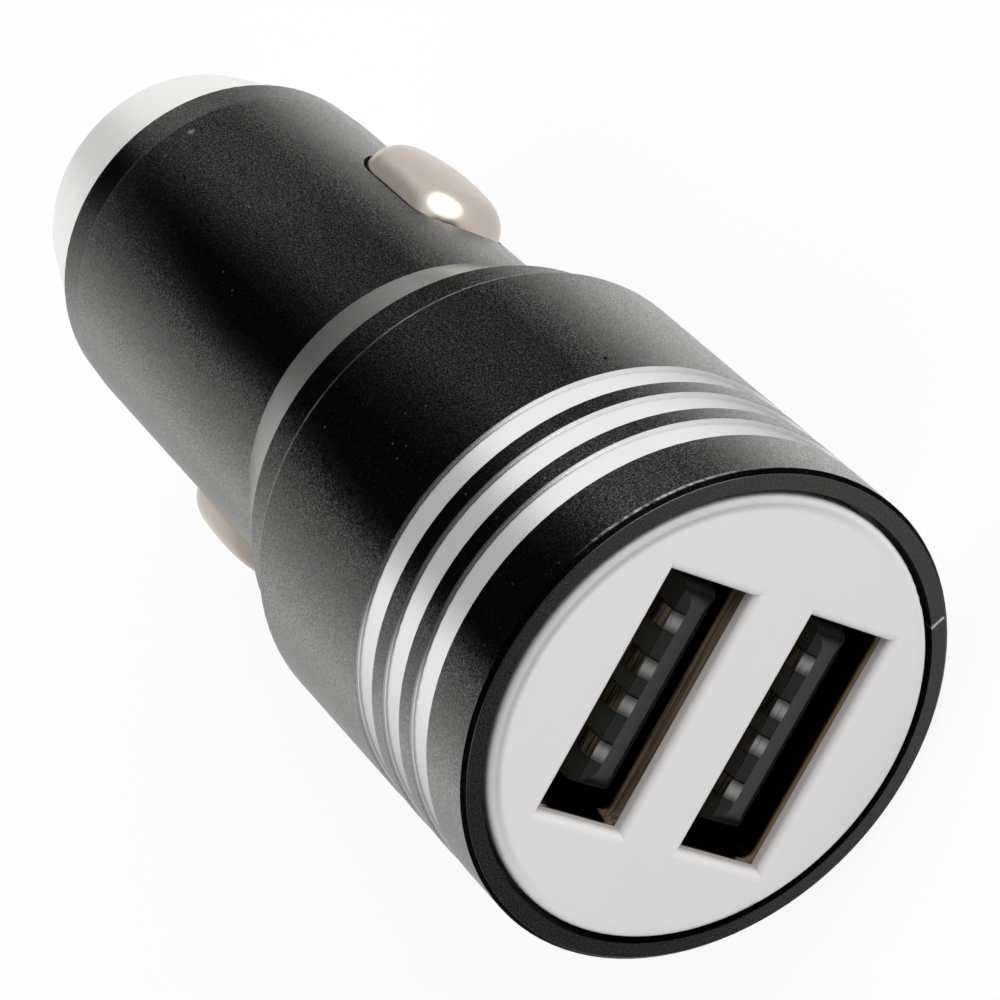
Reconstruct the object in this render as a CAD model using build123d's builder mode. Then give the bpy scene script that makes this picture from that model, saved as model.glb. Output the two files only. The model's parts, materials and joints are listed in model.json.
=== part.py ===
from build123d import *
from math import radians, sqrt, tan
import os

# Car USB charger plug, in millimetres
# The axis is Y: the port face looks along -Y and the tip points along +Y.
# The origin lies on the axis at the shoulder, where the flare of the head meets the barrel.
os.makedirs("parts", exist_ok=True)

# Turned shell: head, stepped heel, flare, barrel and the bevel at the barrel's tail
head_diameter = 25.86
head_length = 21.62
rim_chamfer = 0.24
rear_chamfer = 0.1
heel_diameter = 24.0
heel_length = 2.8
flare_length = 4.2
barrel_front_diameter = 20.44
barrel_rear_diameter = 20.2
barrel_length = 22.3
tail_diameter = 19.96
tail_length = 2.1
head_wall = 1.73
barrel_bore_diameter = 17.0
floor_inset = 0.6

# Bright-cut rings round the head
groove_count = 3
groove_first = 3.555
groove_pitch = 2.79
groove_width = 1.74
groove_depth = 0.16

# Front plate with its two port openings
plate_thickness = 1.6
plate_proud = 0.07
plate_ledge = 0.73
plate_gap = 0.28
plate_edge_round = 0.35
skirt_length = 4.0
skirt_wall = 0.8
port_width = 12.8
port_height = 5.12
port_outset = 0.19
port_offset = -0.39
port_shift = -0.12
port_lip = 0.8
port_edge_round = 0.45

# USB receptacles: folded shell, moulded tongue and four contact strips each
shell_width = 12.5
shell_height = 5.12
shell_sheet = 0.3
shell_fold_radius = 0.4
shell_length = 13.3
receptacle_web_share = 0.58
receptacle_offset = -0.3
mouth_length = 0.9
mouth_angle = 12.0
leaf_width = 2.2
leaf_length = 5.0
leaf_spread = 6.0
leaf_lift = 0.42
leaf_setback = 1.6
tongue_width = 11.1
tongue_thickness = 1.84
tongue_gap = 0.66
tongue_setback = 0.65
tongue_corner = 1.2
bevel_length = 0.32
bevel_height = 0.5
block_length = 3.6
strip_width = 1.0
strip_thickness = 0.2
strip_crest = 0.1
strip_rise_length = 0.64
strip_inner_spacing = 2.0
strip_outer_spacing = 7.0
solder_length = 0.8
solder_tab_width = 1.8

# Boards and the liner that keeps them off the metal shell
board_thickness = 1.2
converter_board_width = 14.8
board_tab_width = 3.0
liner_wall = 0.7
liner_ledge_width = 1.0
liner_ledge_thickness = 1.2

# Side contacts: crowned caps in slots, pressed outwards by bowed leaf springs
side_contact_station = 9.8
cap_length = 9.8
cap_width = 5.6
cap_proud = 1.65
cap_crown_radius = 6.5
cap_sweep_radius = 24.0
cap_round = 2.0
cap_wall = 0.9
side_flange_width = 0.8
side_flange_depth = 2.0
side_travel = 1.3
slot_gap = 0.2
side_spring_width = 3.6
side_spring_thickness = 0.3
side_spring_reserve = 0.9
carrier_wall = 0.7

# Tip: metal nose, insulator and sprung centre contact
nose_base_diameter = 19.8
nose_end_diameter = 15.9
nose_length = 6.7
nose_edge_round = 0.5
insulator_diameter = 11.0
insulator_proud = 0.2
insulator_flange = 1.0
guide_length = 3.6
tip_shaft_diameter = 5.4
tip_flange_width = 1.4
tip_flange_thickness = 1.2
tip_round = 2.0
tip_travel = 2.2
tip_stub = 1.0
tip_cup_wall = 0.7
coil_diameter = 3.3
coil_wire = 0.45
coil_turns = 7
terminal_thickness = 0.6
terminal_tab_width = 3.0
terminal_tab_length = 1.2
terminal_tab_thickness = 0.4

# Converter parts on the board
choke_diameter = 7.2
choke_height = 5.0
choke_flange = 0.8
choke_waist_diameter = 4.2
capacitor_diameter = 6.3
capacitor_height = 5.8
capacitor_crimp = 0.3
capacitor_crimp_height = 1.2
chip_length = 4.9
chip_width = 3.9
chip_height = 1.5
chip_lead_pitch = 1.27
chip_lead_count = 4
chip_lead_width = 0.4
chip_lead_sheet = 0.2
chip_lead_shoulder = 0.35
chip_lead_foot = 0.5
chip_lead_reach = 1.05
diode_length = 4.3
diode_width = 2.6
diode_height = 2.1
resistor_length = 1.6
resistor_width = 0.8
resistor_height = 0.5
fuse_length = 3.2
fuse_width = 1.6
fuse_height = 0.9

# Clearances
slide_gap = 0.1
fit_gap = 0.1
seat_gap = 0.05
stop_gap = 0.1
pin_gap = 0.15
part_gap = 0.25
cut_margin = 1.0

# Radii
head_radius = head_diameter / 2
heel_radius = heel_diameter / 2
barrel_front_radius = barrel_front_diameter / 2
barrel_rear_radius = barrel_rear_diameter / 2
tail_radius = tail_diameter / 2
head_bore_radius = head_radius - head_wall
recess_radius = head_bore_radius + plate_ledge
plate_radius = recess_radius - plate_gap
barrel_bore_radius = barrel_bore_diameter / 2
liner_outer_radius = head_bore_radius - fit_gap
liner_inner_radius = liner_outer_radius - liner_wall
usb_board_radius = liner_inner_radius - fit_gap
insulator_radius = insulator_diameter / 2
tip_shaft_radius = tip_shaft_diameter / 2
tip_flange_radius = tip_shaft_radius + tip_flange_width

# Stations along the axis, from the face to the tip
flare_y = -flare_length
heel_y = flare_y - heel_length
face_y = heel_y - head_length
head_floor_y = heel_y - floor_inset
plate_face_y = face_y - plate_proud
plate_back_y = plate_face_y + plate_thickness
skirt_end_y = plate_back_y + skirt_length
shell_front_y = plate_face_y + port_lip + seat_gap
mouth_y = shell_front_y + mouth_length
tongue_front_y = shell_front_y + tongue_setback
usb_board_front_y = shell_front_y + shell_length
usb_board_back_y = usb_board_front_y + board_thickness
solder_end_y = usb_board_back_y + solder_length
tail_y = barrel_length
nose_seat_y = tail_y + tail_length
nose_end_y = nose_seat_y + nose_length

# Side contacts and their carrier, measured along X
barrel_slope = (barrel_front_radius - barrel_rear_radius) / barrel_length
contact_y = side_contact_station
barrel_radius_at_contact = barrel_front_radius - barrel_slope * contact_y
cap_top_x = barrel_radius_at_contact + cap_proud
flange_top_radius = barrel_bore_radius - stop_gap
flange_x = flange_top_radius - side_flange_depth
web_x = flange_x - side_travel - side_spring_reserve
flange_length = cap_length + 2 * side_flange_width
flange_width = cap_width + 2 * side_flange_width
pocket_length = flange_length + 2 * part_gap
pocket_width = flange_width + 2 * part_gap
carrier_radius = barrel_bore_radius - fit_gap
carrier_length = pocket_length + 2 * carrier_wall
carrier_back_y = contact_y + carrier_length / 2

# Tip stack, from the carrier to the point of the contact
terminal_front_y = carrier_back_y + terminal_tab_length
board_end_y = terminal_front_y - part_gap
insulator_front_y = terminal_front_y - seat_gap
flange_end_y = insulator_front_y + insulator_flange
insulator_end_y = nose_end_y + insulator_proud
guide_y = insulator_end_y - guide_length
tip_flange_y = guide_y - stop_gap
tip_flange_front_y = tip_flange_y - tip_flange_thickness
tip_y = insulator_end_y + tip_travel + tip_stub
terminal_back_y = terminal_front_y + terminal_thickness
cup_radius = tip_shaft_radius - tip_cup_wall
cup_end_y = tip_y - tip_round - tip_cup_wall

# The two ports: the receptacles part the height that the liner leaves free between a web and two outer lands
shell_outer_width = shell_width + 2 * shell_sheet
shell_outer_height = shell_height + 2 * shell_sheet
liner_chord = 2 * sqrt(liner_inner_radius**2 - (shell_outer_width / 2) ** 2)
receptacle_web = receptacle_web_share * (liner_chord - 2 * shell_outer_height)
receptacle_pitch = shell_outer_height + receptacle_web
port_pitch = receptacle_pitch + 2 * port_outset
ports = {
    "upper": (port_offset + port_pitch / 2, receptacle_offset + receptacle_pitch / 2),
    "lower": (port_offset - port_pitch / 2, receptacle_offset - receptacle_pitch / 2),
}
strip_places = (
    -strip_outer_spacing / 2,
    -strip_inner_spacing / 2,
    strip_inner_spacing / 2,
    strip_outer_spacing / 2,
)
board_face_x = board_thickness / 2


def across(y):
    """Plane square to the axis at station y, looking out of the port face: local x is X, local y is Z."""
    return Plane.XZ.offset(-y)


def tongue_top(seat_z):
    """Height of the tongue's contact side in a receptacle centred at seat_z."""
    return seat_z - shell_height / 2 + tongue_gap + tongue_thickness


def strip_path(seat_z):
    """Side view of a contact strip: over the bevel, up to its crest, then straight to its solder end."""
    top = tongue_top(seat_z)
    bevel_y = tongue_front_y + bevel_length
    crest_y = bevel_y + strip_rise_length
    return (
        (tongue_front_y, top - bevel_height),
        (bevel_y, top),
        (crest_y, top + strip_crest),
        (crest_y + strip_rise_length, top),
        (solder_end_y, top),
    )


def board_part_axis(y, z):
    """Axis square to the converter board at a place on it."""
    return Axis((0, y, z), (1, 0, 0))


# Shell, turned from one bar
with BuildPart() as body_shell:
    with BuildSketch(Plane.XY):
        with BuildLine():
            Polyline(
                (recess_radius, face_y),
                (head_radius - rim_chamfer, face_y),
                (head_radius, face_y + rim_chamfer),
                (head_radius, heel_y - rear_chamfer),
                (head_radius - rear_chamfer, heel_y),
                (heel_radius, heel_y),
                (heel_radius, flare_y),
                (barrel_front_radius, 0),
                (barrel_rear_radius, tail_y),
                (tail_radius, nose_seat_y),
                (barrel_bore_radius, nose_seat_y),
                (barrel_bore_radius, head_floor_y),
                (head_bore_radius, head_floor_y),
                (head_bore_radius, plate_back_y),
                (recess_radius, plate_back_y),
                close=True,
            )
        make_face()
    revolve(axis=Axis.Y)
    # Bright-cut rings
    with BuildSketch(Plane.XY):
        for ring in range(groove_count):
            with Locations((head_radius - groove_depth, face_y + groove_first + ring * groove_pitch)):
                Rectangle(groove_depth + cut_margin, groove_width, align=(Align.MIN, Align.MIN))
    revolve(axis=Axis.Y, mode=Mode.SUBTRACT)
    # Slots for the side contacts
    with BuildSketch(Plane.YZ):
        with Locations((contact_y, 0)):
            SlotOverall(cap_length + 2 * slot_gap, cap_width + 2 * slot_gap)
    extrude(amount=head_radius, both=True, mode=Mode.SUBTRACT)
body_shell.part.label = "body_shell"
export_step(body_shell.part, "parts/body_shell.step")

# Front plate: disc, skirt and two openings that step out to clear the receptacles
with BuildPart() as front_plate:
    with BuildSketch(across(plate_back_y)):
        Circle(plate_radius)
    extrude(amount=plate_thickness)
    fillet(front_plate.edges().group_by(Axis.Y)[0], radius=plate_edge_round)
    with BuildSketch(across(skirt_end_y)):
        Circle(head_bore_radius - fit_gap)
        Circle(head_bore_radius - fit_gap - skirt_wall, mode=Mode.SUBTRACT)
    extrude(amount=skirt_length)
    with BuildSketch(across(plate_back_y)):
        for port_z, seat_z in ports.values():
            with Locations((port_shift, port_z)):
                Rectangle(port_width, port_height)
    extrude(amount=plate_thickness, mode=Mode.SUBTRACT)
    front_face = front_plate.faces().filter_by(Plane.XZ).sort_by(Axis.Y)[0]
    fillet(front_face.inner_wires().edges(), radius=port_edge_round)
    mouth_spread = 2 * (shell_sheet + mouth_length * tan(radians(mouth_angle)) + part_gap)
    with BuildSketch(across(plate_back_y)):
        for port_z, seat_z in ports.values():
            with Locations((0, seat_z)):
                Rectangle(shell_width + mouth_spread, shell_height + mouth_spread)
    extrude(amount=plate_thickness - port_lip, mode=Mode.SUBTRACT)
front_plate.part.label = "front_plate"
export_step(front_plate.part, "parts/front_plate.step")

for side, (port_z, seat_z) in ports.items():
    # Receptacle shell: folded box with a flared mouth, sprung leaves and solder tabs
    with BuildPart() as usb_shell:
        with BuildSketch(across(usb_board_front_y)):
            with Locations((0, seat_z)):
                RectangleRounded(shell_outer_width, shell_outer_height, shell_fold_radius + shell_sheet)
        extrude(amount=shell_length - mouth_length)
        with BuildSketch(across(mouth_y)):
            with Locations((0, seat_z)):
                RectangleRounded(shell_outer_width, shell_outer_height, shell_fold_radius + shell_sheet)
        extrude(amount=mouth_length, taper=-mouth_angle)
        with BuildSketch(across(usb_board_front_y)):
            with Locations((0, seat_z)):
                RectangleRounded(shell_width, shell_height, shell_fold_radius)
        extrude(amount=shell_length - mouth_length, mode=Mode.SUBTRACT)
        with BuildSketch(across(mouth_y)):
            with Locations((0, seat_z)):
                RectangleRounded(shell_width, shell_height, shell_fold_radius)
        extrude(amount=mouth_length, taper=-mouth_angle, mode=Mode.SUBTRACT)
        # Windows in the two wide walls, each with a leaf bent inwards
        leaf_front_y = shell_front_y + leaf_setback
        leaf_root_y = leaf_front_y + leaf_length
        with BuildSketch(Plane.XY.offset(seat_z)):
            with Locations((0, leaf_front_y + leaf_length / 2)):
                with GridLocations(leaf_spread, 1, 2, 1):
                    Rectangle(leaf_width + 2 * pin_gap, leaf_length)
        extrude(amount=shell_height / 2 + shell_sheet + cut_margin, both=True, mode=Mode.SUBTRACT)
        wall_z = shell_height / 2 + shell_sheet / 2
        for leaf_x in (-leaf_spread / 2, leaf_spread / 2):
            for up in (-1, 1):
                with BuildSketch(Plane.YZ.offset(leaf_x - leaf_width / 2)):
                    with BuildLine():
                        Polyline(
                            (leaf_root_y + pin_gap, seat_z + up * wall_z),
                            (leaf_root_y - pin_gap, seat_z + up * wall_z),
                            (leaf_front_y + 2 * leaf_lift, seat_z + up * (wall_z - leaf_lift)),
                            (leaf_front_y + pin_gap, seat_z + up * (wall_z - leaf_lift / 2)),
                        )
                    trace(line_width=shell_sheet)
                extrude(amount=leaf_width)
        # Solder tabs on the narrow walls
        with BuildSketch(across(solder_end_y)):
            with Locations((0, seat_z)):
                with GridLocations(shell_width + shell_sheet, 1, 2, 1):
                    Rectangle(shell_sheet, solder_tab_width)
        extrude(amount=solder_end_y - usb_board_front_y + pin_gap)
    usb_shell.part.label = f"usb_shell_{side}"
    export_step(usb_shell.part, f"parts/usb_shell_{side}.step")

    # Tongue: bevelled blade with rounded corners, on a block that fills the back of the shell
    with BuildPart() as usb_tongue:
        top_z = tongue_top(seat_z)
        bottom_z = top_z - tongue_thickness
        bevel_y = tongue_front_y + bevel_length
        with BuildSketch(Plane.YZ):
            with BuildLine():
                Polyline(
                    (usb_board_front_y, top_z),
                    (bevel_y, top_z),
                    (tongue_front_y, top_z - bevel_height),
                    (tongue_front_y, bottom_z + bevel_height),
                    (bevel_y, bottom_z),
                    (usb_board_front_y, bottom_z),
                    close=True,
                )
            make_face()
        extrude(amount=tongue_width / 2, both=True)
        with BuildSketch(Plane.XY.offset(bottom_z - cut_margin)):
            with Locations((0, tongue_front_y)):
                RectangleRounded(
                    tongue_width,
                    usb_board_front_y - tongue_front_y + tongue_corner,
                    tongue_corner,
                    align=(Align.CENTER, Align.MIN),
                )
        extrude(amount=tongue_thickness + 2 * cut_margin, mode=Mode.INTERSECT)
        with BuildSketch(across(usb_board_front_y)):
            with Locations((0, seat_z)):
                RectangleRounded(shell_width - 2 * seat_gap, shell_height - 2 * seat_gap, shell_fold_radius)
        extrude(amount=block_length)
        # Channels for the contact strips
        for strip_x in strip_places:
            with BuildSketch(Plane.YZ.offset(strip_x - strip_width / 2 - seat_gap)):
                with BuildLine():
                    Polyline(*strip_path(seat_z))
                trace(line_width=strip_thickness + 2 * seat_gap)
            extrude(amount=strip_width + 2 * seat_gap, mode=Mode.SUBTRACT)
    usb_tongue.part.label = f"usb_tongue_{side}"
    export_step(usb_tongue.part, f"parts/usb_tongue_{side}.step")

    # Contact strips: four separate springs
    with BuildPart() as usb_contacts:
        for strip_x in strip_places:
            with BuildSketch(Plane.YZ.offset(strip_x - strip_width / 2)):
                with BuildLine():
                    Polyline(*strip_path(seat_z))
                trace(line_width=strip_thickness)
            extrude(amount=strip_width)
    usb_contacts.part.label = f"usb_contacts_{side}"
    export_step(usb_contacts.part, f"parts/usb_contacts_{side}.step")

# Round board behind the receptacles, pierced for their strips and tabs and for the converter board's tab
with BuildPart() as usb_board:
    with BuildSketch(across(usb_board_back_y)):
        Circle(usb_board_radius)
        Rectangle(board_thickness + 2 * pin_gap, board_tab_width + 2 * pin_gap, mode=Mode.SUBTRACT)
        for port_z, seat_z in ports.values():
            for strip_x in strip_places:
                with Locations((strip_x, tongue_top(seat_z))):
                    Rectangle(
                        strip_width + 2 * pin_gap, strip_thickness + 2 * pin_gap, mode=Mode.SUBTRACT
                    )
            with Locations((0, seat_z)):
                with GridLocations(shell_width + shell_sheet, 1, 2, 1):
                    Rectangle(
                        shell_sheet + 2 * pin_gap, solder_tab_width + 2 * pin_gap, mode=Mode.SUBTRACT
                    )
    extrude(amount=board_thickness)
usb_board.part.label = "usb_board"
export_step(usb_board.part, "parts/usb_board.step")

# Liner: tube in the head bore, with a ledge behind the round board
with BuildPart() as insulating_liner:
    ledge_radius = liner_inner_radius - liner_ledge_width
    ledge_end_y = usb_board_back_y + liner_ledge_thickness
    with BuildSketch(Plane.XY):
        with BuildLine():
            Polyline(
                (liner_outer_radius, skirt_end_y + part_gap),
                (liner_outer_radius, head_floor_y),
                (liner_inner_radius, head_floor_y),
                (liner_inner_radius, ledge_end_y),
                (ledge_radius, ledge_end_y),
                (ledge_radius, usb_board_back_y),
                (liner_inner_radius, usb_board_back_y),
                (liner_inner_radius, skirt_end_y + part_gap),
                close=True,
            )
        make_face()
    revolve(axis=Axis.Y)
insulating_liner.part.label = "insulating_liner"
export_step(insulating_liner.part, "parts/insulating_liner.step")

# Converter board: stands on edge along the axis behind the solder ends, with a tab through the round board
bay_front_y = solder_end_y + part_gap
with BuildPart() as converter_board:
    with BuildSketch(Plane.YZ):
        with Locations((bay_front_y, 0)):
            Rectangle(board_end_y - bay_front_y, converter_board_width, align=(Align.MIN, Align.CENTER))
        with Locations((usb_board_front_y, 0)):
            Rectangle(bay_front_y - usb_board_front_y, board_tab_width, align=(Align.MIN, Align.CENTER))
    extrude(amount=board_thickness / 2, both=True)
converter_board.part.label = "converter_board"
export_step(converter_board.part, "parts/converter_board.step")

# Places of the converter parts along the board, from the ledge to the carrier
chip_y = bay_front_y + chip_length / 2
choke_y = chip_y + chip_length / 2 + part_gap + choke_diameter / 2
first_can_y = bay_front_y + capacitor_diameter / 2
second_can_y = first_can_y + capacitor_diameter + part_gap
side_bay_z = converter_board_width / 2 - fuse_width
diode_y = choke_y

# Choke: drum core and its winding
with BuildPart() as choke_core:
    with BuildSketch(Plane.XY):
        with BuildLine():
            Polyline(
                (board_face_x, choke_y),
                (board_face_x, choke_y + choke_diameter / 2),
                (board_face_x + choke_flange, choke_y + choke_diameter / 2),
                (board_face_x + choke_flange, choke_y + choke_waist_diameter / 2),
                (board_face_x + choke_height - choke_flange, choke_y + choke_waist_diameter / 2),
                (board_face_x + choke_height - choke_flange, choke_y + choke_diameter / 2),
                (board_face_x + choke_height, choke_y + choke_diameter / 2),
                (board_face_x + choke_height, choke_y),
                close=True,
            )
        make_face()
    revolve(axis=board_part_axis(choke_y, 0))
choke_core.part.label = "choke_core"
export_step(choke_core.part, "parts/choke_core.step")

with BuildPart() as choke_winding:
    winding_height = choke_height - 2 * choke_flange - 2 * seat_gap
    winding_inner = choke_waist_diameter / 2 + seat_gap
    winding_outer = choke_diameter / 2 - 2 * seat_gap
    with BuildSketch(Plane.XY):
        with Locations((board_face_x + choke_height / 2, choke_y + winding_inner)):
            Rectangle(winding_height, winding_outer - winding_inner, align=(Align.CENTER, Align.MIN))
    revolve(axis=board_part_axis(choke_y, 0))
choke_winding.part.label = "choke_winding"
export_step(choke_winding.part, "parts/choke_winding.step")

# Capacitors: two standing cans with a crimp near the foot
for can, can_y in (("input_capacitor", first_can_y), ("output_capacitor", second_can_y)):
    with BuildPart() as capacitor:
        can_radius = capacitor_diameter / 2
        crimp_x = -board_face_x - capacitor_crimp_height
        with BuildSketch(Plane.XY):
            with Locations((-board_face_x, can_y)):
                Rectangle(capacitor_height, can_radius, align=(Align.MAX, Align.MIN))
            with Locations((crimp_x, can_y + can_radius)):
                Circle(capacitor_crimp, mode=Mode.SUBTRACT)
        revolve(axis=board_part_axis(can_y, 0))
        fillet(capacitor.edges().group_by(Axis.X)[0], radius=capacitor_crimp)
    capacitor.part.label = can
    export_step(capacitor.part, f"parts/{can}.step")

# Converter chip: moulded body with bent leads down both sides
with BuildPart() as converter_chip:
    lead_sole_x = board_face_x + chip_lead_sheet / 2
    lead_top_x = board_face_x + chip_height / 2
    with BuildSketch(Plane.YZ.offset(board_face_x + chip_lead_sheet)):
        with Locations((chip_y, 0)):
            Rectangle(chip_length, chip_width)
    extrude(amount=chip_height - chip_lead_sheet)
    for lead in range(chip_lead_count):
        lead_y = chip_y + (lead - (chip_lead_count - 1) / 2) * chip_lead_pitch
        for out in (-1, 1):
            with BuildSketch(across(lead_y + chip_lead_width / 2)):
                with BuildLine():
                    Polyline(
                        (lead_top_x, out * (chip_width / 2 - chip_lead_sheet)),
                        (lead_top_x, out * (chip_width / 2 + chip_lead_shoulder)),
                        (lead_sole_x, out * (chip_width / 2 + chip_lead_reach - chip_lead_foot)),
                        (lead_sole_x, out * (chip_width / 2 + chip_lead_reach)),
                    )
                trace(line_width=chip_lead_sheet)
            extrude(amount=chip_lead_width)
converter_chip.part.label = "converter_chip"
export_step(converter_chip.part, "parts/converter_chip.step")

# Diode: moulded block beside the choke
with BuildPart() as rectifier_diode:
    diode_z = -(choke_diameter / 2 + part_gap + diode_width / 2)
    with BuildSketch(Plane.YZ.offset(board_face_x)):
        with Locations((diode_y, diode_z)):
            Rectangle(diode_length, diode_width)
    extrude(amount=diode_height)
    chamfer(rectifier_diode.edges().group_by(Axis.X)[-1], length=chip_lead_sheet)
rectifier_diode.part.label = "rectifier_diode"
export_step(rectifier_diode.part, "parts/rectifier_diode.step")

# Chip resistors: a row along the board's other edge
with BuildPart() as chip_resistors:
    with BuildSketch(Plane.YZ.offset(board_face_x)):
        with Locations((choke_y, side_bay_z)):
            with GridLocations(2 * resistor_length, 1, 3, 1):
                Rectangle(resistor_length, resistor_width)
    extrude(amount=resistor_height)
chip_resistors.part.label = "chip_resistors"
export_step(chip_resistors.part, "parts/chip_resistors.step")

# Fuse in the positive line
with BuildPart() as fuse_link:
    with BuildSketch(Plane.YZ.offset(board_face_x)):
        with Locations((chip_y, side_bay_z)):
            Rectangle(fuse_length, fuse_width)
    extrude(amount=fuse_height)
    chamfer(fuse_link.edges().group_by(Axis.X)[-1], length=chip_lead_sheet)
fuse_link.part.label = "fuse_link"
export_step(fuse_link.part, "parts/fuse_link.step")

# Carrier: plug of insulator in the barrel, with a pocket behind each slot and a slit for the board
with BuildPart() as contact_carrier:
    with BuildSketch(across(carrier_back_y)):
        Circle(carrier_radius)
    extrude(amount=carrier_length)
    for out in (-1, 1):
        with BuildSketch(Plane.YZ.offset(out * web_x)):
            with Locations((contact_y, 0)):
                Rectangle(pocket_length, pocket_width)
        extrude(amount=out * barrel_bore_radius, mode=Mode.SUBTRACT)
    with BuildSketch(across(carrier_back_y)):
        Rectangle(board_thickness + 2 * fit_gap, converter_board_width + 2 * fit_gap)
    extrude(amount=carrier_length, mode=Mode.SUBTRACT)
contact_carrier.part.label = "contact_carrier"
export_step(contact_carrier.part, "parts/contact_carrier.step")

# Side contact: crowned cap with a flange that stops behind the slot
with BuildPart() as side_contact_right:
    with BuildSketch(Plane.YZ.offset(flange_x)):
        with Locations((contact_y, 0)):
            SlotOverall(flange_length, flange_width)
    extrude(amount=side_flange_depth)
    with BuildSketch(across(carrier_back_y)):
        Circle(flange_top_radius)
    extrude(amount=carrier_length, mode=Mode.INTERSECT)
    with BuildSketch(Plane.YZ.offset(flange_x)):
        with Locations((contact_y, 0)):
            SlotOverall(cap_length, cap_width)
    extrude(amount=cap_top_x - flange_x + cut_margin)
    # Crown, round across the cap and swept in a long arc along it
    with BuildSketch(across(contact_y)):
        with Locations((cap_top_x - cap_crown_radius, 0)):
            Circle(cap_crown_radius)
    revolve(axis=Axis((cap_top_x - cap_sweep_radius, contact_y, 0), (0, 0, 1)), mode=Mode.INTERSECT)
    fillet(side_contact_right.faces().sort_by(Axis.X)[-1].edges(), radius=cap_round)
    with BuildSketch(Plane.YZ.offset(flange_x)):
        with Locations((contact_y, 0)):
            SlotOverall(cap_length - 2 * cap_wall, cap_width - 2 * cap_wall)
    extrude(amount=cap_top_x - flange_x - 2 * cap_wall, mode=Mode.SUBTRACT)
side_contact_right.part.label = "side_contact_right"
export_step(side_contact_right.part, "parts/side_contact_right.step")

with BuildPart() as side_contact_left:
    mirror(side_contact_right.part, about=Plane.YZ)
side_contact_left.part.label = "side_contact_left"
export_step(side_contact_left.part, "parts/side_contact_left.step")

# Side spring: bowed leaf, its back on the carrier's web and its ends under the flange
with BuildPart() as side_spring_right:
    spring_half = (flange_length - side_flange_width) / 2
    spring_end_x = flange_x - seat_gap - side_spring_thickness / 2
    with BuildSketch(Plane.XY):
        with BuildLine():
            ThreePointArc(
                (spring_end_x, contact_y - spring_half),
                (web_x + seat_gap + side_spring_thickness / 2, contact_y),
                (spring_end_x, contact_y + spring_half),
            )
        trace(line_width=side_spring_thickness)
    extrude(amount=side_spring_width / 2, both=True)
side_spring_right.part.label = "side_spring_right"
export_step(side_spring_right.part, "parts/side_spring_right.step")

with BuildPart() as side_spring_left:
    mirror(side_spring_right.part, about=Plane.YZ)
side_spring_left.part.label = "side_spring_left"
export_step(side_spring_left.part, "parts/side_spring_left.step")

# Nose: turned cone with a spigot in the barrel
with BuildPart() as nose_ring:
    nose_bore_radius = insulator_radius + fit_gap
    spigot_radius = barrel_bore_radius - fit_gap
    with BuildSketch(Plane.XY):
        with BuildLine():
            Polyline(
                (nose_bore_radius, flange_end_y + seat_gap),
                (spigot_radius, flange_end_y + seat_gap),
                (spigot_radius, nose_seat_y),
                (nose_base_diameter / 2, nose_seat_y),
                (nose_end_diameter / 2, nose_end_y),
                (nose_bore_radius, nose_end_y),
                close=True,
            )
        make_face()
    revolve(axis=Axis.Y)
    nose_rims = nose_ring.edges().filter_by(GeomType.CIRCLE).group_by(Axis.Y)[-1]
    fillet(nose_rims.sort_by(SortBy.RADIUS)[-1], radius=nose_edge_round)
nose_ring.part.label = "nose_ring"
export_step(nose_ring.part, "parts/nose_ring.step")

# Insulator: flanged bush clamped by the nose, stepped to guide and stop the centre contact
with BuildPart() as tip_insulator:
    with BuildSketch(Plane.XY):
        with BuildLine():
            Polyline(
                (tip_flange_radius + slide_gap, insulator_front_y),
                (carrier_radius, insulator_front_y),
                (carrier_radius, flange_end_y),
                (insulator_radius, flange_end_y),
                (insulator_radius, insulator_end_y),
                (tip_shaft_radius + slide_gap, insulator_end_y),
                (tip_shaft_radius + slide_gap, guide_y),
                (tip_flange_radius + slide_gap, guide_y),
                close=True,
            )
        make_face()
    revolve(axis=Axis.Y)
tip_insulator.part.label = "tip_insulator"
export_step(tip_insulator.part, "parts/tip_insulator.step")

# Centre contact: domed cup with a stop flange, hollow behind for its spring
with BuildPart() as centre_contact:
    with BuildSketch(Plane.XY):
        with BuildLine():
            Polyline(
                (0, tip_y),
                (tip_shaft_radius, tip_y),
                (tip_shaft_radius, tip_flange_y),
                (tip_flange_radius, tip_flange_y),
                (tip_flange_radius, tip_flange_front_y),
                (cup_radius, tip_flange_front_y),
                (cup_radius, cup_end_y),
                (0, cup_end_y),
                close=True,
            )
        make_face()
    revolve(axis=Axis.Y)
    fillet(centre_contact.edges().filter_by(GeomType.CIRCLE).group_by(Axis.Y)[-1], radius=tip_round)
centre_contact.part.label = "centre_contact"
export_step(centre_contact.part, "parts/centre_contact.step")

# Centre spring: coil between the terminal and the bottom of the cup
with BuildPart() as centre_spring:
    coil_radius = coil_diameter / 2
    coil_start_y = terminal_back_y + coil_wire / 2 + seat_gap
    coil_height = cup_end_y - coil_wire / 2 - seat_gap - coil_start_y
    with BuildLine() as coil_line:
        Helix(
            pitch=coil_height / coil_turns,
            height=coil_height,
            radius=coil_radius,
            center=(0, coil_start_y, 0),
            direction=(0, 1, 0),
        )
    with BuildSketch(Plane(origin=coil_line.line @ 0, z_dir=coil_line.line % 0)):
        Circle(coil_wire / 2)
    sweep()
centre_spring.part.label = "centre_spring"
export_step(centre_spring.part, "parts/centre_spring.step")

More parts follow.
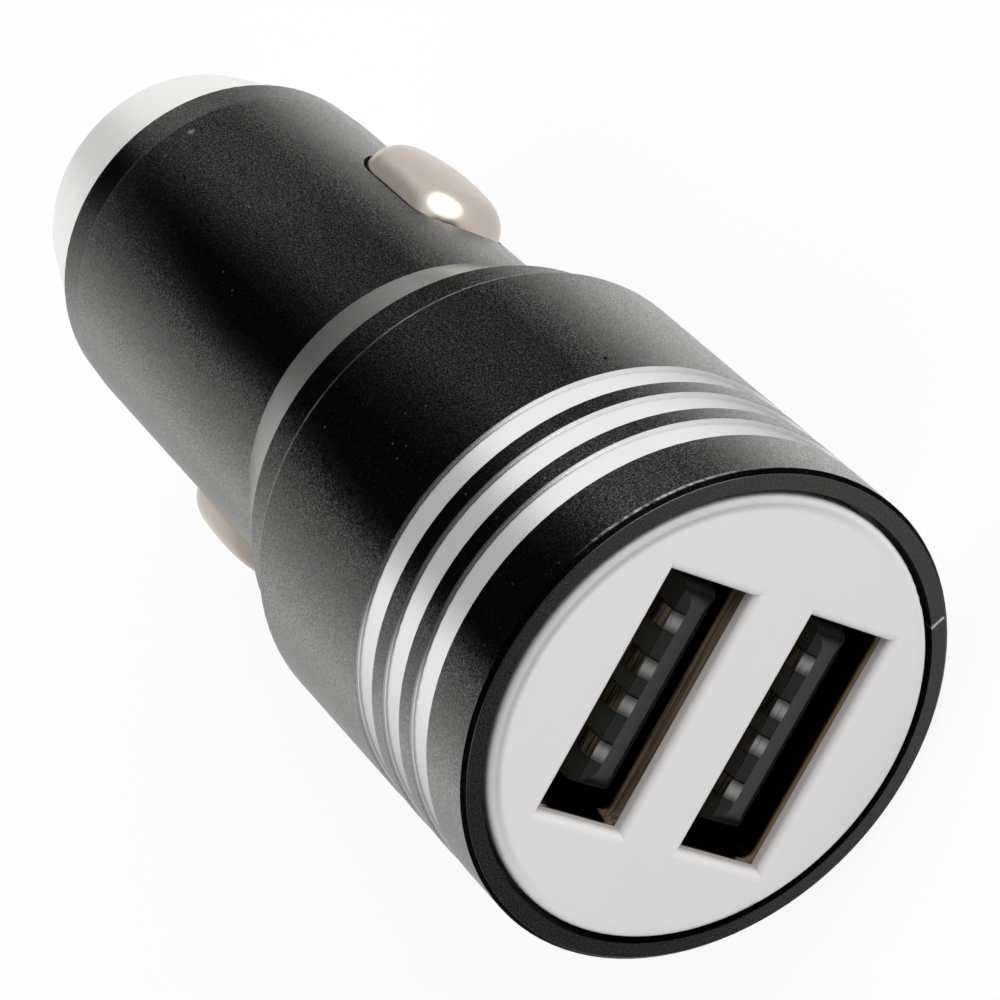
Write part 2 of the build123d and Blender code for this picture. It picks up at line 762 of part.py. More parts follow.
# Positive terminal: seat of the centre spring, with a tab soldered to the board
with BuildPart() as positive_terminal:
    with BuildSketch(across(terminal_back_y)):
        Circle(tip_flange_radius)
    extrude(amount=terminal_thickness)
    with BuildSketch(across(terminal_front_y)):
        with Locations((board_face_x, 0)):
            Rectangle(terminal_tab_thickness, terminal_tab_width, align=(Align.MIN, Align.CENTER))
    extrude(amount=terminal_tab_length - part_gap)
positive_terminal.part.label = "positive_terminal"
export_step(positive_terminal.part, "parts/positive_terminal.step")
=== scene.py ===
import bpy
import json
import math
from mathutils import Matrix, Vector


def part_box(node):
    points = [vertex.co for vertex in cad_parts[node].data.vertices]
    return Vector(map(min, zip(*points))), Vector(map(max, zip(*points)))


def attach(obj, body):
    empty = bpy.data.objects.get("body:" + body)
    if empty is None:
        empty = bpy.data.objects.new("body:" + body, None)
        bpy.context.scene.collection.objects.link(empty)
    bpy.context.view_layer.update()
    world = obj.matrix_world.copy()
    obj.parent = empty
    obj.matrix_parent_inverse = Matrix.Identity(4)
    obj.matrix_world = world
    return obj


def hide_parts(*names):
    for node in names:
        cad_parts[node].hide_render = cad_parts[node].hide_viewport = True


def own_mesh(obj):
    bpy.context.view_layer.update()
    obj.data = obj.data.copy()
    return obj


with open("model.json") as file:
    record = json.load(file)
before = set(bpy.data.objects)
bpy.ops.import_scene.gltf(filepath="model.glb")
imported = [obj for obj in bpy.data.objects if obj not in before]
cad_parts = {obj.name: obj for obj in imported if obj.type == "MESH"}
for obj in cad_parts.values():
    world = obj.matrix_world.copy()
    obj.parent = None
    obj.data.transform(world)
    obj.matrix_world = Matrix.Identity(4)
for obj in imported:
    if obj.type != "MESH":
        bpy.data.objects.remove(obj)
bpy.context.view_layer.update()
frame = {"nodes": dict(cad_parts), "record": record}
charger = frame["nodes"]
mm_per_metre = 1000.0


def front_of(node):
    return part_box(node)[0][1] * mm_per_metre


def middle_height(node):
    low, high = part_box(node)
    return mm_per_metre * (low[2] + high[2]) / 2


# Stations along the charger's axis, in millimetres from the shoulder, and radii from the axis
shell_low, shell_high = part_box("body_shell")
face = shell_low[1] * mm_per_metre
rim_corner = face + 0.24
recess_end = face + 2.0
head_rear = face + 21.62
rear_corner = head_rear - 0.1
flare_start = head_rear + 2.8
shoulder = 0.0
tail_end = shell_high[1] * mm_per_metre
tail_start = tail_end - 2.1
head_radius = shell_high[0] * mm_per_metre
recess_radius = 12.0

# Bright rings cut round the head
ring_count = 3
first_ring = face + 3.555
ring_pitch = 2.79
ring_width = 1.74
ring_floor = head_radius - 0.16

# Plate with the painted shadow line near its edge, and the two ports with their strips
plate_face = front_of("front_plate")
plate_shadow_radius = 11.23
mouth_front = front_of("usb_shell_upper")
tongue_front = front_of("usb_tongue_upper")
bevel_end = tongue_front + 0.32
upper_middle = middle_height("usb_shell_upper")
lower_middle = middle_height("usb_shell_lower")
between_ports = -0.3
inner_strip = 1.0
outer_strip = 3.5

# Directions across the axis, as X and Z: up towards the camera, to the right of it, and low on the right
upper_side = (0.342, 0.94)
right_side = (0.94, -0.342)
low_right_side = (0.82, -0.572)

# How lines in a finish are stretched: round the axis, along it, or across a port or a strip
around = (0.03, 1.0, 0.03)
finely_around = (0.02, 1.0, 0.02)
along = (1.0, 0.03, 1.0)
across_port = (0.03, 1.0, 1.0)
across_strip = (0.05, 1.0, 1.0)

# Sizes of grain, and the depth of all relief, in millimetres
blasted_grain = 0.09
moulded_grain = 0.12
turned_lines = 0.05
relief_depth = 0.02

# Marks on the shell, in millimetres: a nick on the rim, two dust spots near the tail and a speck on the head
nick_start = (7.54, -9.19)
nick_end = (8.3, -9.54)
nick_width = 0.14
dust_place = (6.29, 21.27, 7.97)
dust_size = 0.25
faint_dust_place = (4.66, 20.82, 9.02)
faint_dust_size = 0.22
speck_place = (11.43, -16.46, 6.03)
speck_size = 0.16

# Colours, as shares of red, green and blue. Where there are two, the finish drifts from one to the other
black = (0.0, 0.0, 0.0)
pit_black = (0.0008, 0.0008, 0.0008)
anodised_tints = ((0.0048, 0.0068, 0.0056), (0.0068, 0.0052, 0.0052))
sparkle_grey = (0.06, 0.061, 0.06)
glint_grey = (0.13, 0.13, 0.125)
# Painted reflection: the white that the shell's painted gloss goes towards
painted_gloss_white = (0.99, 1.0, 0.96)
turned_shine = (1.0, 0.99, 0.96)
# Bared metal of the worn edges and the nick, also used for the painted highlight at the start of the tail
bared_metal_and_highlight = (0.5, 0.5, 0.48)
dust_grey = (0.3, 0.3, 0.29)
ring_metals = ((0.84, 0.84, 0.835), (0.93, 0.93, 0.925))
# Painted shade on the walls of the rings
ring_wall_shade_grey = (0.5, 0.49, 0.49)
plate_whites = ((0.782, 0.768, 0.77), (0.798, 0.784, 0.786))
# Painted shadow line near the plate's edge, and painted shade in the lips of its openings
plate_shadow_grey = (0.02, 0.02, 0.022)
lip_shade_grey = (0.45, 0.405, 0.37)
# Receptacle steel: painted shade, painted light on the wall above the tongue, and brown tarnish painted lighter
# at the mouth
shaded_steels = ((0.008, 0.007, 0.006), (0.016, 0.013, 0.011))
lit_steels = ((0.6, 0.56, 0.5), (0.68, 0.64, 0.58))
lit_mouth_browns = ((0.07, 0.045, 0.027), (0.2, 0.145, 0.1))
lit_mouth_tans = ((0.17, 0.12, 0.07), (0.25, 0.18, 0.1))
# Strip silver goes from its edges to a painted highlight; the strip shade is painted shade
strip_silvers_to_highlight = ((0.24, 0.24, 0.235), (0.92, 0.92, 0.9))
strip_tans = ((0.3, 0.22, 0.14), (1.0, 0.85, 0.65))
strip_shade = (0.08, 0.065, 0.05)
contact_nickels = ((0.5, 0.445, 0.38), (0.55, 0.495, 0.43))
# Painted shade on the left side contact
contact_shade = (0.14, 0.115, 0.085)
tongue_blacks = ((0.006, 0.0075, 0.0075), (0.015, 0.017, 0.017))
# Painted light on the tongue behind its front
tongue_lit_greys = ((0.02, 0.022, 0.017), (0.09, 0.095, 0.078))


# Small helpers for a finish made of nodes
def new_finish(name):
    finish = bpy.data.materials.new(name)
    finish.use_nodes = True
    return finish.node_tree, finish.node_tree.nodes["Principled BSDF"], finish


def join(tree, value, socket):
    if isinstance(value, bpy.types.NodeSocket):
        tree.links.new(value, socket)
    else:
        socket.default_value = value


def calculate(tree, operation, first, second=0.0):
    step = tree.nodes.new("ShaderNodeMath")
    step.operation = operation
    join(tree, first, step.inputs[0])
    join(tree, second, step.inputs[1])
    return step.outputs[0]


def times(tree, first, *others):
    for other in others:
        first = calculate(tree, "MULTIPLY", first, other)
    return first


def plus(tree, first, *others):
    for other in others:
        first = calculate(tree, "ADD", first, other)
    return first


def minus(tree, first, second):
    return calculate(tree, "SUBTRACT", first, second)


def larger(tree, first, second):
    return calculate(tree, "MAXIMUM", first, second)


def smaller(tree, first, second):
    return calculate(tree, "MINIMUM", first, second)


def without_sign(tree, value):
    return calculate(tree, "ABSOLUTE", value)


def ramp(tree, value, start, end, low=0.0, high=1.0):
    step = tree.nodes.new("ShaderNodeMapRange")
    step.interpolation_type = "SMOOTHSTEP"
    join(tree, value, step.inputs["Value"])
    step.inputs["From Min"].default_value = start
    step.inputs["From Max"].default_value = end
    step.inputs["To Min"].default_value = low
    step.inputs["To Max"].default_value = high
    return step.outputs["Result"]


def band(tree, value, start, end, soft):
    rise = ramp(tree, value, start - soft, start + soft)
    fall = ramp(tree, value, end - soft, end + soft, 1.0, 0.0)
    return times(tree, rise, fall)


def paint(tree, share, under, over):
    step = tree.nodes.new("ShaderNodeMix")
    step.data_type = "RGBA"
    join(tree, share, step.inputs["Factor"])
    for socket, colour in ((step.inputs[6], under), (step.inputs[7], over)):
        join(tree, colour if isinstance(colour, bpy.types.NodeSocket) else (*colour, 1.0), socket)
    return step.outputs[2]


def mix_of(tree, share, under, over):
    step = tree.nodes.new("ShaderNodeMix")
    join(tree, share, step.inputs["Factor"])
    join(tree, under, step.inputs[2])
    join(tree, over, step.inputs[3])
    return step.outputs[0]


def place_in_mm(tree):
    point = tree.nodes.new("ShaderNodeTexCoord")
    scaled = tree.nodes.new("ShaderNodeVectorMath")
    scaled.operation = "SCALE"
    tree.links.new(point.outputs["Object"], scaled.inputs[0])
    scaled.inputs["Scale"].default_value = mm_per_metre
    return scaled.outputs[0]


def parts_of(tree, point):
    split = tree.nodes.new("ShaderNodeSeparateXYZ")
    tree.links.new(point, split.inputs[0])
    return split.outputs[0], split.outputs[1], split.outputs[2]


def stretched(tree, point, scale):
    step = tree.nodes.new("ShaderNodeMapping")
    tree.links.new(point, step.inputs["Vector"])
    step.inputs["Scale"].default_value = scale
    return step.outputs[0]


def grain(tree, point, size, detail=2.0, roughness=0.5):
    step = tree.nodes.new("ShaderNodeTexNoise")
    tree.links.new(point, step.inputs["Vector"])
    step.inputs["Scale"].default_value = 1.0 / size
    step.inputs["Detail"].default_value = detail
    step.inputs["Roughness"].default_value = roughness
    return step.outputs["Fac"]


def drawn_lines(tree, point, scale, size):
    return grain(tree, stretched(tree, point, scale), size, 3.0, 0.6)


def specks(tree, point, size, share):
    cells = tree.nodes.new("ShaderNodeTexVoronoi")
    tree.links.new(point, cells.inputs["Vector"])
    cells.inputs["Scale"].default_value = 1.0 / size
    chosen = ramp(tree, parts_of(tree, cells.outputs["Color"])[0], 1.0 - share, 1.0 - 0.4 * share)
    inside = ramp(tree, cells.outputs["Distance"], 0.15, 0.45, 1.0, 0.0)
    return times(tree, chosen, inside)


def relief(tree, shader, height, strength):
    step = tree.nodes.new("ShaderNodeBump")
    join(tree, height, step.inputs["Height"])
    join(tree, strength, step.inputs["Strength"])
    step.inputs["Distance"].default_value = relief_depth / mm_per_metre
    tree.links.new(step.outputs["Normal"], shader.inputs["Normal"])


def roughen(tree, shader, lines, low, high):
    join(tree, ramp(tree, lines, 0.2, 0.8, low, high), shader.inputs["Roughness"])


def radius_of(tree, x, z):
    return calculate(tree, "SQRT", plus(tree, times(tree, x, x), times(tree, z, z)))


def side_share(tree, x, z, radius, side):
    reach = plus(tree, times(tree, x, side[0]), times(tree, z, side[1]))
    return calculate(tree, "DIVIDE", reach, radius)


def dot_at(tree, point, place, size):
    gap = tree.nodes.new("ShaderNodeVectorMath")
    gap.operation = "DISTANCE"
    tree.links.new(point, gap.inputs[0])
    gap.inputs[1].default_value = place
    return ramp(tree, gap.outputs["Value"], 0.4 * size, size, 1.0, 0.0)


def scratch(tree, x, z, start, end, width):
    run = Vector(end) - Vector(start)
    run_x, run_z = run.normalized()
    from_x = minus(tree, x, start[0])
    from_z = minus(tree, z, start[1])
    length = plus(tree, times(tree, from_x, run_x), times(tree, from_z, run_z))
    aside = minus(tree, times(tree, from_x, run_z), times(tree, from_z, run_x))
    inside = band(tree, length, 0.0, run.length, 0.06)
    return times(tree, inside, band(tree, aside, -width / 2, width / 2, width / 3))


def on_tail(tree, y, amount):
    return ramp(tree, y, tail_start - 0.1, tail_start + 0.1, 0.0, amount)


# How far the surface leans away from the eye, for the shell's painted gloss: it comes a little sooner at the
# face and later on the barrel and the tail
def slant(tree, y):
    weight = tree.nodes.new("ShaderNodeLayerWeight")
    weight.inputs["Blend"].default_value = 0.5
    head_part = ramp(tree, y, face, -10.0, -0.02, 0.0)
    barrel_part = ramp(tree, y, -10.0, 10.0, 0.0, 0.035)
    later = plus(tree, head_part, barrel_part, on_tail(tree, y, 0.065))
    return minus(tree, weight.outputs["Facing"], later)


# Painted reflection for the gloss of the blasted shell, put into its colour: an even rise on the left, and a
# faint first tone and then a rise on the right, so the two sides show different painted light. The grit makes
# it lighter and darker, most where it is faint
def painted_gloss_of_shell(tree, y, to_right, grit):
    facing = slant(tree, y)
    left_start = 0.39
    left_growth = 1.14
    left_most = 0.41
    left = times(tree, minus(tree, facing, left_start), left_growth)
    soft_start = ramp(tree, facing, 0.394, 0.456)
    steep_part = ramp(tree, facing, 0.5, 0.68, 0.0, 0.05)
    left = plus(tree, times(tree, left, soft_start), steep_part)
    left = smaller(tree, larger(tree, left, 0.0), left_most)
    head_tone = ramp(tree, y, -25.0, -18.0, 0.036, 0.017)
    barrel_tone = ramp(tree, y, shoulder, 18.0, 0.0, 0.014)
    first_tone = plus(tree, head_tone, barrel_tone, on_tail(tree, y, 0.06))
    first = times(tree, ramp(tree, facing, 0.345, 0.4), first_tone)
    right = plus(tree, first, ramp(tree, facing, 0.48, 0.9, 0.0, 0.64))
    gloss = mix_of(tree, ramp(tree, to_right, -0.1, 0.3), left, right)
    chamfer = ramp(tree, y, rim_corner - 0.04, rim_corner, 1.0, 0.0)
    gloss = times(tree, gloss, minus(tree, 1.0, chamfer))
    swing = times(tree, grit, ramp(tree, gloss, 0.01, 0.14, 1.3, 0.4))
    swing_balance = 0.93
    return times(tree, gloss, calculate(tree, "EXPONENT", swing), swing_balance)


# Worn lines on the shell: the head's rear edge and the rim's edge on the right, and a painted highlight at the
# start of the tail
def worn_edges_and_tail_highlight(tree, point, y, radius, to_right, aside):
    rear_edge = band(tree, y, rear_corner - 0.11, rear_corner + 0.02, 0.02)
    rear_edge = times(tree, rear_edge, ramp(tree, aside, 0.0, 0.3, 0.1, 0.34))
    rim_edge = band(tree, y, rim_corner, rim_corner + 0.14, 0.04)
    rim_edge = times(tree, rim_edge, ramp(tree, to_right, 0.05, 0.3))
    rim_edge = times(tree, rim_edge, ramp(tree, to_right, 0.5, 0.75, 1.0, 0.2))
    chips = ramp(tree, grain(tree, point, 0.4, 3.0), 0.36, 0.6, 0.15, 1.0)
    rim_edge = times(tree, rim_edge, chips)
    edges = larger(tree, rear_edge, rim_edge)
    edges = times(tree, edges, ramp(tree, radius, head_radius - 0.05, head_radius - 0.02))
    # Painted highlight along the start of the tail
    tail_highlight = times(tree, band(tree, y, tail_start - 0.1, tail_start, 0.04), 0.1)
    scuff = ramp(tree, grain(tree, point, 0.5, 3.0), 0.25, 0.6, 0.4, 1.0)
    return times(tree, larger(tree, edges, tail_highlight), scuff)


# Black anodised shell: blasted all over with a painted reflection in its colour that grows at a slant, turned
# smooth on the flare with painted highlights and on the rim with painted light, bright in the rings with
# painted shade on their walls, and worn along its edges
def anodised_shell():
    tree, shader, finish = new_finish("anodised_shell")
    point = place_in_mm(tree)
    x, y, z = parts_of(tree, point)
    radius = radius_of(tree, x, z)
    to_right = side_share(tree, x, z, radius, right_side)
    to_low_right = side_share(tree, x, z, radius, low_right_side)
    aside = without_sign(tree, to_right)

    rings = 0.0
    for ring in range(ring_count):
        start = first_ring + ring * ring_pitch
        rings = plus(tree, rings, band(tree, y, start - 0.02, start + ring_width + 0.02, 0.01))
    cut = band(tree, radius, ring_floor - 0.05, head_radius - 0.015, 0.01)
    bright = times(tree, rings, cut)
    flare = band(tree, y, flare_start, shoulder, 0.03)
    recess = ramp(tree, radius, recess_radius - 0.05, recess_radius, 1.0, 0.0)
    recess = times(tree, recess, ramp(tree, y, recess_end - 0.5, recess_end, 1.0, 0.0))
    rim = larger(tree, ramp(tree, y, face + 0.01, face + 0.04, 1.0, 0.0), recess)
    smooth = larger(tree, flare, rim)
    turned = larger(tree, smooth, bright)

    fine = grain(tree, point, blasted_grain, 2.0, 0.7)
    grit = ramp(tree, fine, 0.32, 0.68, -1.0, 1.0)
    cloud = ramp(tree, grain(tree, point, 0.6), 0.35, 0.65)
    tint = paint(tree, cloud, *anodised_tints)
    blasted = paint(tree, ramp(tree, fine, 0.38, 0.7), pit_black, tint)
    sparkle = times(tree, specks(tree, point, 0.12, 0.1), 0.4)
    blasted = paint(tree, sparkle, blasted, sparkle_grey)
    glint = specks(tree, point, 0.17, 0.006)
    blasted = paint(tree, glint, blasted, glint_grey)
    # Painted reflection: the shell's gloss is painted into its colour, at a slant and differently on each side
    blasted = paint(tree, painted_gloss_of_shell(tree, y, to_right, grit), blasted, painted_gloss_white)

    # Painted light on the rim: darker on the upper left and lighter low on the right, with grit on top
    rim_light_and_grit = ramp(tree, to_low_right, -1.0, 1.0, 0.02, 0.052)
    rim_light_and_grit = plus(tree, rim_light_and_grit, times(tree, grit, 0.016))
    # Painted highlights on the flare: bands on both sides, on the left and on the right
    flare_highlight_both_sides = times(tree, band(tree, aside, 0.35, 0.65, 0.2), 0.2)
    left_light = times(tree, band(tree, to_right, -0.7, -0.22, 0.14), 0.2)
    right_light = times(tree, band(tree, to_right, 0.57, 0.7, 0.07), 0.3)
    flare_tone_and_highlights = plus(tree, 0.27, flare_highlight_both_sides, left_light, right_light)
    smooth_tone = paint(tree, mix_of(tree, rim, flare_tone_and_highlights, rim_light_and_grit), black, turned_shine)
    dark = paint(tree, smooth, blasted, smooth_tone)

    # Worn edges together with the painted highlight at the start of the tail
    worn = worn_edges_and_tail_highlight(tree, point, y, radius, to_right, aside)
    nick = scratch(tree, x, z, nick_start, nick_end, nick_width)
    nick = times(tree, nick, ramp(tree, fine, 0.35, 0.5), rim)
    dark = paint(tree, larger(tree, worn, nick), dark, bared_metal_and_highlight)
    faint_dust = times(tree, dot_at(tree, point, faint_dust_place, faint_dust_size), 0.3)
    dust = larger(tree, dot_at(tree, point, dust_place, dust_size), faint_dust)
    dark = paint(tree, times(tree, dust, 0.6), dark, dust_grey)
    dark = paint(tree, dot_at(tree, point, speck_place, speck_size), dark, black)

    lines = drawn_lines(tree, point, finely_around, turned_lines)
    metal = paint(tree, lines, *ring_metals)
    # Painted shade on the ring walls, fading out towards the right
    wall = ramp(tree, radius, ring_floor + 0.015, ring_floor + 0.05)
    wall = times(tree, wall, ramp(tree, to_right, 0.1, 0.6, 1.0, 0.05))
    metal = paint(tree, wall, metal, ring_wall_shade_grey)
    join(tree, paint(tree, bright, dark, metal), shader.inputs["Base Color"])
    shader.inputs["Metallic"].default_value = 1.0
    shader.inputs["Specular Tint"].default_value = (0.5, 0.5, 0.5, 1.0)
    shader.inputs["Sheen Weight"].default_value = 0.06
    shader.inputs["Sheen Roughness"].default_value = 0.3
    rough = ramp(tree, fine, 0.3, 0.7, 0.28, 0.34)
    rough = mix_of(tree, smooth, rough, 0.3)
    rough = mix_of(tree, bright, rough, 0.2)
    join(tree, rough, shader.inputs["Roughness"])
    relief(tree, shader, mix_of(tree, turned, fine, lines), mix_of(tree, turned, 0.2, 0.08))
    return finish


# White moulded plate: painted shade in the lips of its openings and a painted shadow line near its edge,
# strongest on its upper side
def moulded_plate():
    tree, shader, finish = new_finish("moulded_plate")
    point = place_in_mm(tree)
    x, y, z = parts_of(tree, point)
    radius = radius_of(tree, x, z)
    to_top = side_share(tree, x, z, radius, upper_side)
    fine = grain(tree, point, moulded_grain)
    white = paint(tree, grain(tree, point, 5.0), *plate_whites)
    # Painted shadow line near the plate's edge, strongest on its upper side
    inner_half = ramp(tree, radius, plate_shadow_radius - 0.38, plate_shadow_radius - 0.01)
    outer_half = ramp(tree, radius, plate_shadow_radius + 0.01, plate_shadow_radius + 0.19, 1.0, 0.6)
    line = times(tree, inner_half, outer_half, ramp(tree, to_top, -0.2, 1.0, 0.02, 0.43))
    white = paint(tree, line, white, plate_shadow_grey)
    # Painted shade in the lips of the openings and on the plate's outer edge, greyer with depth
    lip_shade = ramp(tree, y, plate_face + 0.01, plate_face + 0.5, 0.0, 0.6)
    join(tree, paint(tree, lip_shade, white, lip_shade_grey), shader.inputs["Base Color"])
    join(tree, ramp(tree, fine, 0.3, 0.7, 0.3, 0.36), shader.inputs["Roughness"])
    relief(tree, shader, fine, 0.03)
    return finish


# Receptacle steel: painted light on the wall above the tongue and painted shade, dark, elsewhere, and brown
# tarnish at the mouth, painted lighter where light falls in, deeper in the upper receptacle
def receptacle_steel():
    tree, shader, finish = new_finish("receptacle_steel")
    point = place_in_mm(tree)
    _, y, z = parts_of(tree, point)
    upper = ramp(tree, z, between_ports - 0.1, between_ports + 0.1)
    from_middle = minus(tree, z, mix_of(tree, upper, lower_middle, upper_middle))
    depth = minus(tree, y, mouth_front)
    drawn = drawn_lines(tree, point, across_port, 0.16)
    cloud = grain(tree, point, 1.2, 3.0)
    # Painted shade on the steel deep inside, and painted light on the wall above the tongue
    shaded_steel = paint(tree, cloud, *shaded_steels)
    lit_steel = paint(tree, cloud, *lit_steels)
    steel = paint(tree, ramp(tree, from_middle, 1.6, 2.2), shaded_steel, lit_steel)
    # Brown tarnish painted lighter, with its metal turned off, where light falls into the mouth: deeper in the
    # upper receptacle
    brown = paint(tree, ramp(tree, drawn, 0.4, 0.64), *lit_mouth_browns)
    tan = paint(tree, cloud, *lit_mouth_tans)
    upper_lit_mouth = ramp(tree, depth, 0.85, 1.1, 1.0, 0.0)
    lower_lit_mouth = ramp(tree, depth, 0.0, 0.26, 1.0, 0.0)
    mouth = mix_of(tree, upper, lower_lit_mouth, upper_lit_mouth)
    mouth = times(tree, mouth, ramp(tree, from_middle, -2.0, -1.7, 1.0, 0.0))
    lit_tarnish = paint(tree, upper, tan, brown)
    join(tree, paint(tree, mouth, steel, lit_tarnish), shader.inputs["Base Color"])
    join(tree, ramp(tree, mouth, 0.0, 1.0, 1.0, 0.0), shader.inputs["Metallic"])
    shader.inputs["Specular Tint"].default_value = (0.3, 0.28, 0.25, 1.0)
    roughen(tree, shader, drawn, 0.3, 0.42)
    relief(tree, shader, drawn, 0.06)
    return finish


# Contact strips: silvery on the bevel with a painted highlight along each strip's centre, tan with drawn lines
# behind it, with painted shade on the tan in the lower port
def contact_strip():
    tree, shader, finish = new_finish("contact_strip")
    point = place_in_mm(tree)
    x, y, z = parts_of(tree, point)
    aside = without_sign(tree, x)
    from_inner = without_sign(tree, minus(tree, aside, inner_strip))
    from_outer = without_sign(tree, minus(tree, aside, outer_strip))
    # Painted highlight along the centre of each strip
    middle = ramp(tree, smaller(tree, from_inner, from_outer), 0.05, 0.5, 1.0, 0.0)
    drawn = drawn_lines(tree, point, across_strip, 0.12)
    silver = paint(tree, middle, *strip_silvers_to_highlight)
    tan = paint(tree, ramp(tree, drawn, 0.4, 0.62), *strip_tans)
    # Painted shade on the tan in the lower port
    lower = ramp(tree, z, between_ports - 0.1, between_ports + 0.1, 0.6, 0.0)
    tan = paint(tree, lower, tan, strip_shade)
    behind = ramp(tree, y, bevel_end - 0.06, bevel_end + 0.02)
    join(tree, paint(tree, behind, silver, tan), shader.inputs["Base Color"])
    shader.inputs["Metallic"].default_value = 1.0
    roughen(tree, shader, drawn, 0.26, 0.36)
    relief(tree, shader, drawn, 0.05)
    return finish


# Side contacts: worn nickel, with painted shade towards the head on the left one
def worn_nickel():
    tree, shader, finish = new_finish("worn_nickel")
    point = place_in_mm(tree)
    x, y, _ = parts_of(tree, point)
    cloud = grain(tree, point, 1.0, 3.0)
    drawn = drawn_lines(tree, point, along, turned_lines)
    nickel = paint(tree, cloud, *contact_nickels)
    # Painted shade on the left contact, darker towards the head
    on_left = ramp(tree, x, -1.0, 1.0, 1.0, 0.0)
    left_shade = times(tree, on_left, ramp(tree, y, 5.0, 12.0, 0.6, 0.0))
    join(tree, paint(tree, left_shade, nickel, contact_shade), shader.inputs["Base Color"])
    shader.inputs["Metallic"].default_value = 1.0
    roughen(tree, shader, drawn, 0.21, 0.29)
    relief(tree, shader, drawn, 0.03)
    return finish


# Tongue of a receptacle: black plastic, painted lighter behind its bevelled front as painted light
def moulded_tongue():
    tree, shader, finish = new_finish("moulded_tongue")
    point = place_in_mm(tree)
    _, y, _ = parts_of(tree, point)
    fine = grain(tree, point, blasted_grain, 2.0, 0.7)
    mottle = ramp(tree, fine, 0.3, 0.7)
    front = paint(tree, mottle, *tongue_blacks)
    lit_behind_front = paint(tree, mottle, *tongue_lit_greys)
    # Painted light behind the bevelled front
    behind = ramp(tree, y, bevel_end - 0.05, bevel_end + 0.15)
    join(tree, paint(tree, behind, front, lit_behind_front), shader.inputs["Base Color"])
    roughen(tree, shader, fine, 0.36, 0.48)
    relief(tree, shader, fine, 0.15)
    return finish


# Metal finishes: a colour that drifts a little, with drawn or turned lines in the gloss
def plain_metal(name, low, high, roughness, lines, size):
    tree, shader, finish = new_finish(name)
    point = place_in_mm(tree)
    cloud = grain(tree, point, size * 20, 3.0)
    drawn = drawn_lines(tree, point, lines, size)
    join(tree, paint(tree, cloud, low, high), shader.inputs["Base Color"])
    shader.inputs["Metallic"].default_value = 1.0
    roughen(tree, shader, drawn, roughness - 0.05, roughness + 0.07)
    relief(tree, shader, drawn, 0.04)
    return finish


# Plastic finishes: fine moulded grain with a little drift of colour
def plain_plastic(name, low, high, roughness, size):
    tree, shader, finish = new_finish(name)
    point = place_in_mm(tree)
    cloud = grain(tree, point, size * 15, 3.0)
    fine = grain(tree, point, size)
    join(tree, paint(tree, cloud, low, high), shader.inputs["Base Color"])
    roughen(tree, shader, fine, roughness - 0.08, roughness + 0.08)
    relief(tree, shader, fine, 0.15)
    return finish


# Finishes by the record's slots. A plain one gives its darker and its lighter colour, its roughness, the run of
# its lines if it is a metal, and the size of its grain
finishes = {
    "black_anodised_shell": anodised_shell(),
    "white_plate": moulded_plate(),
    "receptacle_steel": receptacle_steel(),
    "receptacle_black": moulded_tongue(),
    "contact_strip": contact_strip(),
    "side_contact_nickel": worn_nickel(),
}
plastics = {
    "circuit_board": ((0.01, 0.09, 0.04), (0.014, 0.12, 0.055), 0.35, 0.1),
    "liner_plastic": ((0.03, 0.03, 0.032), (0.04, 0.04, 0.042), 0.5, 0.1),
    "ferrite": ((0.03, 0.03, 0.031), (0.05, 0.05, 0.05), 0.6, 0.12),
    "component_black": ((0.015, 0.015, 0.016), (0.025, 0.025, 0.026), 0.5, 0.06),
    "component_white": ((0.6, 0.59, 0.56), (0.68, 0.67, 0.64), 0.4, 0.08),
    "carrier_plastic": ((0.02, 0.02, 0.021), (0.03, 0.03, 0.031), 0.5, 0.1),
}
metals = {
    "copper_winding": ((0.72, 0.32, 0.16), (0.82, 0.4, 0.2), 0.3, along, 0.1),
    "capacitor_can": ((0.7, 0.7, 0.72), (0.8, 0.8, 0.82), 0.25, around, 0.1),
    "spring_steel": ((0.5, 0.5, 0.5), (0.6, 0.6, 0.6), 0.25, along, turned_lines),
    "nose_metal": ((0.77, 0.765, 0.745), (0.83, 0.825, 0.805), 0.22, around, turned_lines),
    "tip_nickel": ((0.66, 0.62, 0.55), (0.74, 0.7, 0.63), 0.2, around, turned_lines),
}
for slot, look in plastics.items():
    finishes[slot] = plain_plastic(slot, *look)
for slot, look in metals.items():
    finishes[slot] = plain_metal(slot, *look)
slot_of = {part["node"]: part["material_slot"] for part in frame["record"]["subparts"]}
for node, piece in charger.items():
    piece.data.materials.clear()
    piece.data.materials.append(finishes[slot_of[node]])

# Springs behind the three contacts: each is copied from its part, welded, smoothed and fixed to the body, and
# the part itself is hidden
merge_gap = 0.000001
smooth_angle = math.radians(35)


def pressed_spring(node, name):
    bpy.ops.object.select_all(action="DESELECT")
    spring = bpy.data.objects.new(name, charger[node].data.copy())
    bpy.context.scene.collection.objects.link(spring)
    spring.select_set(True)
    bpy.context.view_layer.objects.active = spring
    bpy.ops.mesh.customdata_custom_splitnormals_clear()
    bpy.ops.object.mode_set(mode="EDIT")
    bpy.ops.mesh.select_all(action="SELECT")
    bpy.ops.mesh.remove_doubles(threshold=merge_gap)
    bpy.ops.object.mode_set(mode="OBJECT")
    bpy.ops.object.shade_smooth_by_angle(angle=smooth_angle)
    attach(spring, "body")
    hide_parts(node)
    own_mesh(spring)


pressed_spring("centre_spring", "centre_spring_coil")
pressed_spring("side_spring_right", "side_spring_right_leaf")
pressed_spring("side_spring_left", "side_spring_left_leaf")

